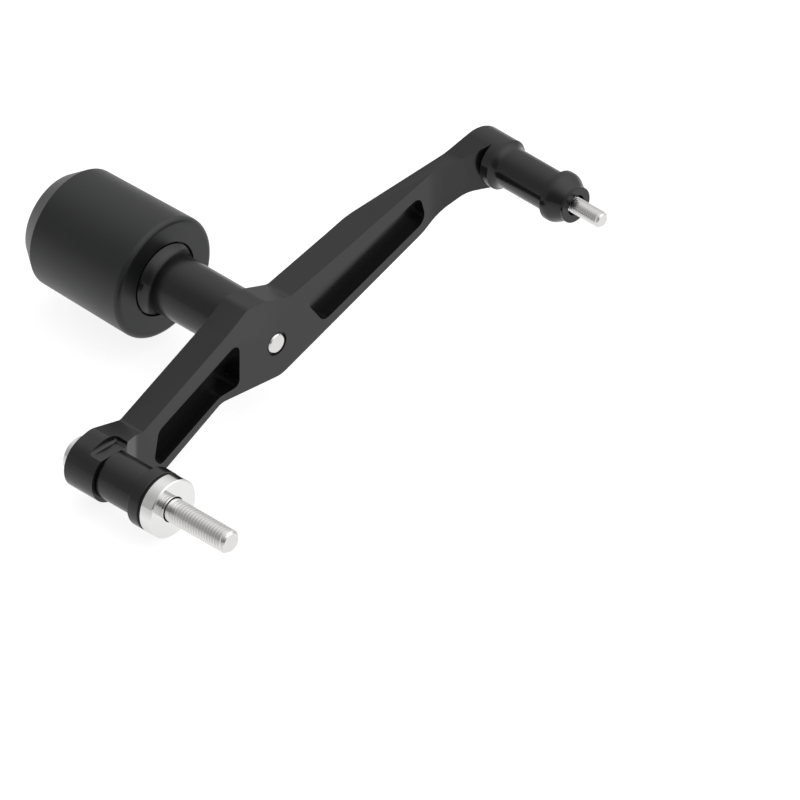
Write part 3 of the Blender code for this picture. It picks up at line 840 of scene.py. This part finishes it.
class FRAMESLIDER_OT_screws(Operator):
    """Turn and thread the three socket head screws"""

    bl_idname = "frame_slider.screws"
    bl_label = "Screws"

    def execute(self, context):
        sizes = context.scene.slider_sizes
        colour = context.scene.slider_colours.steel
        lower_seat = ends("lower_bolt")[1] - LOWER_SCREW_LENGTH
        upper_seat = ends("upper_bolt")[1] - UPPER_SCREW_LENGTH
        centre_seat = ends("centre_bolt")[0] + CENTRE_HEAD_HEIGHT
        for side, seat, form, pitch in (
            ("lower", lower_seat, LOWER_SCREW, sizes.lower_pitch / MM),
            ("upper", upper_seat, UPPER_SCREW, sizes.upper_pitch / MM),
            ("centre", centre_seat, CENTRE_SCREW, 0.0),
        ):
            node = side + "_bolt"
            name = side + "_screw"
            finish = bright_steel("bright_steel_" + name, colour, axis_of(node), rough=0.16)
            screw(node, name, seat, form, pitch, finish)
        return {"FINISHED"}


def build_floor(studio):
    """A pale floor under the slider. It glows, so only the shadow shows on it."""
    deselect()
    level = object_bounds()[0].z - studio.floor_drop
    bpy.ops.mesh.primitive_plane_add(size=FLOOR_SIZE, location=(*FLOOR_CENTRE, level))
    floor = bpy.context.object
    floor.name = "floor"
    paint = bpy.data.materials.new("white_floor")
    paint.use_nodes = True
    tree = paint.node_tree
    tree.nodes.clear()
    # Glancing reflections see the floor's darker far side
    sight = add(tree, "ShaderNodeNewGeometry").outputs["Incoming"]
    height = add(tree, "ShaderNodeSeparateXYZ", {"Vector": sight}).outputs["Z"]
    mirrored = ranged(tree, height, FLOOR_SLOPES, FLOOR_GLOW)
    matt = add(tree, "ShaderNodeBsdfDiffuse", {"Color": (FLOOR_GREY, FLOOR_GREY, FLOOR_GREY, 1.0)})
    light = add(tree, "ShaderNodeEmission", {"Strength": seen_or_lit(tree, FLOOR_SEEN, mirrored)})
    both = add(tree, "ShaderNodeAddShader", {0: matt.outputs[0], 1: light.outputs[0]})
    add(tree, "ShaderNodeOutputMaterial", {"Surface": both.outputs[0]})
    floor.data.materials.append(paint)
    floor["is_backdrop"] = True


def seen_or_lit(tree, seen, lit):
    """One brightness for what the camera sees itself, and another for what the slider is lit by."""
    camera = add(tree, "ShaderNodeLightPath").outputs["Is Camera Ray"]
    return add(tree, "ShaderNodeMix", {0: camera, 2: lit, 3: seen}, data_type="FLOAT").outputs[0]


def towards(tree, way, direction):
    """How far a ray points in a direction, as a cosine."""
    inputs = {0: way, 1: Vector(direction).normalized()}
    return add(tree, "ShaderNodeVectorMath", inputs, operation="DOT_PRODUCT").outputs["Value"]


def build_light(scene, studio):
    """Soft light from all round, with a broad lamp overhead and a darker front."""
    scene.world = bpy.data.worlds.new("studio")
    scene.world.use_nodes = True
    tree = scene.world.node_tree
    tree.nodes.clear()
    way = add(tree, "ShaderNodeTexCoord").outputs["Generated"]
    inside = maths(tree, "MAXIMUM", towards(tree, way, LAMP_WAY), 0.0)
    lamp = maths(tree, "POWER", inside, LAMP_FALLOFF)
    total = maths(tree, "MULTIPLY_ADD", lamp, studio.lamp, studio.walls)
    facing = towards(tree, way, DARK_WAY)
    dim = ranged(tree, facing, DARK_REACH, (1.0, studio.shade), interpolation_type="SMOOTHSTEP")
    bright = maths(tree, "MULTIPLY", total, dim)
    sky = add(tree, "ShaderNodeBackground", {"Strength": seen_or_lit(tree, BACKDROP, bright)})
    add(tree, "ShaderNodeOutputWorld", {"Surface": sky.outputs[0]})


def aim_camera(scene, studio):
    """A camera without perspective, which looks down along the corner of the axes."""
    camera = bpy.data.objects.new("camera", bpy.data.cameras.new("camera"))
    scene.collection.objects.link(camera)
    scene.camera = camera
    back = Vector(CAMERA_WAY).normalized()
    camera.data.type = "ORTHO"
    camera.data.ortho_scale = studio.frame_width
    camera.data.clip_end = CAMERA_CLIP
    camera.location = Vector(CAMERA_AIM) + back * CAMERA_DISTANCE
    camera.rotation_euler = (-back).to_track_quat("-Z", "Y").to_euler()


class FRAMESLIDER_OT_stage(Operator):
    """Set up the pale floor, the soft studio light and the camera"""

    bl_idname = "frame_slider.stage"
    bl_label = "Stage"

    def execute(self, context):
        scene = context.scene
        build_floor(scene.slider_studio)
        build_light(scene, scene.slider_studio)
        aim_camera(scene, scene.slider_studio)
        scene.view_settings.view_transform = "Standard"
        return {"FINISHED"}


class FRAMESLIDER_PT_panel(Panel):
    """Lists the sizes, colours and steps"""

    bl_label = "Frame Slider"
    bl_idname = "FRAMESLIDER_PT_panel"
    bl_space_type = "VIEW_3D"
    bl_region_type = "UI"
    bl_category = "Frame Slider"

    def draw(self, context):
        for title, _ in GROUPS:
            group = getattr(context.scene, title)
            for name in group.bl_rna.properties.keys():
                if name not in ("rna_type", "name"):
                    self.layout.prop(group, name)
        for step in STEPS:
            self.layout.operator(step.bl_idname)


GROUPS = (
    ("slider_sizes", SliderSizes),
    ("slider_colours", SliderColours),
    ("slider_studio", SliderStudio),
)
STEPS = (
    FRAMESLIDER_OT_arm,
    FRAMESLIDER_OT_puck,
    FRAMESLIDER_OT_spacers,
    FRAMESLIDER_OT_washer,
    FRAMESLIDER_OT_screws,
    FRAMESLIDER_OT_stage,
)


def register():
    """Add the property groups, the steps and the panel."""
    for name, group in GROUPS:
        bpy.utils.register_class(group)
        setattr(bpy.types.Scene, name, PointerProperty(type=group))
    for kind in (*STEPS, FRAMESLIDER_PT_panel):
        bpy.utils.register_class(kind)


def unregister():
    """Take them away again, in reverse."""
    for kind in reversed((*STEPS, FRAMESLIDER_PT_panel)):
        bpy.utils.unregister_class(kind)
    for name, group in reversed(GROUPS):
        delattr(bpy.types.Scene, name)
        bpy.utils.unregister_class(group)


def main():
    """Build everything."""
    register()
    bpy.ops.frame_slider.arm()
    bpy.ops.frame_slider.puck()
    bpy.ops.frame_slider.spacers()
    bpy.ops.frame_slider.washer()
    bpy.ops.frame_slider.screws()
    bpy.ops.frame_slider.stage()


if __name__ == "__main__":
    main()
